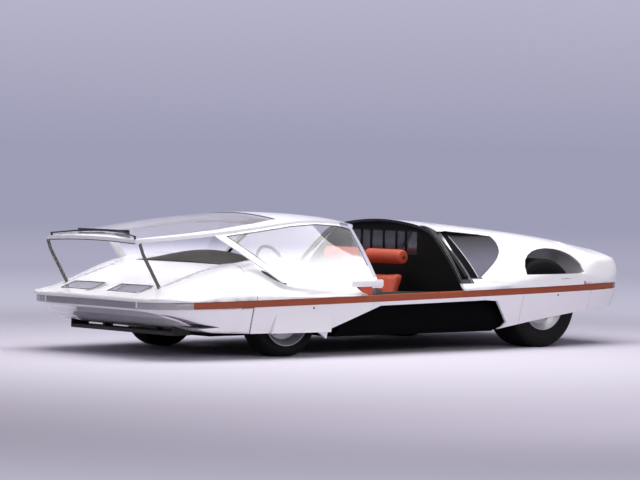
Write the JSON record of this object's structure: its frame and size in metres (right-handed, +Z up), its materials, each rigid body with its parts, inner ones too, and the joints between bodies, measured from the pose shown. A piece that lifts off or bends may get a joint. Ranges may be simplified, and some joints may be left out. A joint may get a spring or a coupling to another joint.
{
  "type": "supercar",
  "caption": "Low wedge show supercar with a sliding canopy held forward on struts, recessed belt stripe, covered wheels and a rear engine deck with round vents.",
  "frame": {"origin": "on the ground, on the centreline, at mid-length", "axes": "+X forward, +Y to the car's left, +Z up"},
  "size_m": [4.48, 2.0412, 1.001],
  "materials": {
    "body_paint": "gloss white",
    "lower_paint": "gloss white",
    "belt_paint": "satin brown-red",
    "front_lens": "grey ribbed lens",
    "tail_lens": "dark red lens",
    "lamp_glass": "flush clear glass",
    "tub_black": "matt black",
    "pod_black": "satin black",
    "chassis_steel": "black painted steel",
    "cast_alloy": "cast",
    "cabin_glass": "clear glass",
    "dash_olive": "dark olive covering",
    "wheel_grip": "black grip",
    "seat_leather": "orange hide",
    "blade_black": "satin black",
    "pipe_steel": "brushed",
    "runner_metal": "dark",
    "canopy_glass": "lightly tinted glass",
    "wiper_black": "matt black",
    "strut_metal": "olive-grey",
    "tyre_rubber": "black",
    "rim_alloy": "cast alloy",
    "reflector": "polished bowl",
    "scoop_grey": "dark grey"
  },
  "bodies": {
    "chassis": {"nose_shell": "body_paint", "rear_shell": "body_paint", "lower_front": "lower_paint", "front_skirts": "lower_paint", "sills": "lower_paint", "rear_skirts": "lower_paint", "lower_tail": "lower_paint", "front_lens": "front_lens", "belt_band": "belt_paint", "tail_lamp": "tail_lens", "lamp_covers": "lamp_glass", "tub": "tub_black", "side_pods": "pod_black", "front_suspension": "chassis_steel", "rear_suspension": "chassis_steel", "engine_block": "cast_alloy", "bulkhead": "tub_black", "rear_window": "cabin_glass", "dash": "dash_olive", "steering_wheel": "wheel_grip", "seat_left": "seat_leather", "seat_right": "seat_leather", "headrest_left": "seat_leather", "headrest_right": "seat_leather", "front_blade": "blade_black", "tail_panel": "tub_black", "tail_pipes": "pipe_steel", "canopy_track": "runner_metal", "lamp_units": "reflector", "scoop_liners": "scoop_grey"},
    "canopy_carriage": {"runners": "runner_metal"},
    "canopy": {"canopy_frame": "body_paint", "windscreen": "canopy_glass", "side_glass": "canopy_glass", "wipers": "wiper_black"},
    "strut_left_body": {"strut_left": "strut_metal"},
    "strut_right_body": {"strut_right": "strut_metal"},
    "knuckle_left_body": {"knuckle_left": "chassis_steel"},
    "knuckle_right_body": {"knuckle_right": "chassis_steel"},
    "front_wheel_left": {"front_tyre_left": "tyre_rubber", "front_rim_left": "rim_alloy"},
    "front_wheel_right": {"front_tyre_right": "tyre_rubber", "front_rim_right": "rim_alloy"},
    "rear_wheel_left": {"rear_tyre_left": "tyre_rubber", "rear_rim_left": "rim_alloy"},
    "rear_wheel_right": {"rear_tyre_right": "tyre_rubber", "rear_rim_right": "rim_alloy"}
  },
  "joints": [
    {"name": "canopy_slide", "type": "slide", "parent": "chassis", "child": "canopy_carriage", "axis": [0.9996, 0, 0.0274], "range_m": [-0.73, 0]},
    {"name": "canopy_tilt", "type": "hinge", "parent": "canopy_carriage", "child": "canopy", "pos_m": [0.395, 0, 0.502], "axis": [0, 1, 0], "range_deg": [0, 4.13]},
    {"name": "strut_left_fold", "type": "hinge", "parent": "chassis", "child": "strut_left_body", "pos_m": [2.043, 0.545, 0.492], "axis": [0, 1, 0], "range_deg": [-101.95, 0]},
    {"name": "strut_right_fold", "type": "hinge", "parent": "chassis", "child": "strut_right_body", "pos_m": [2.043, -0.545, 0.492], "axis": [0, 1, 0], "range_deg": [-101.95, 0]},
    {"name": "steer_left", "type": "hinge", "parent": "chassis", "child": "knuckle_left_body", "pos_m": [1.09, 0.545, 0.278], "axis": [0, 0, 1], "range_deg": [-14, 14]},
    {"name": "front_wheel_left_spin", "type": "hinge", "parent": "knuckle_left_body", "child": "front_wheel_left", "pos_m": [1.09, 0.6825, 0.278], "axis": [0, 1, 0], "continuous": true},
    {"name": "rear_wheel_left_spin", "type": "hinge", "parent": "chassis", "child": "rear_wheel_left", "pos_m": [-1.315, 0.745, 0.332], "axis": [0, 1, 0], "continuous": true},
    {"name": "steer_right", "type": "hinge", "parent": "chassis", "child": "knuckle_right_body", "pos_m": [1.09, -0.545, 0.278], "axis": [0, 0, 1], "range_deg": [-14, 14]},
    {"name": "front_wheel_right_spin", "type": "hinge", "parent": "knuckle_right_body", "child": "front_wheel_right", "pos_m": [1.09, -0.6825, 0.278], "axis": [0, 1, 0], "continuous": true},
    {"name": "rear_wheel_right_spin", "type": "hinge", "parent": "chassis", "child": "rear_wheel_right", "pos_m": [-1.315, -0.745, 0.332], "axis": [0, 1, 0], "continuous": true}
  ],
  "couplings": [
    {"joint": "canopy_tilt", "follows": "canopy_slide", "rad_per_m": -0.0985},
    {"joint": "strut_left_fold", "follows": "canopy_slide", "rad_per_m": 2.4363},
    {"joint": "strut_right_fold", "follows": "canopy_slide", "rad_per_m": 2.4363},
    {"joint": "steer_right", "follows": "steer_left", "ratio": 1}
  ]
}
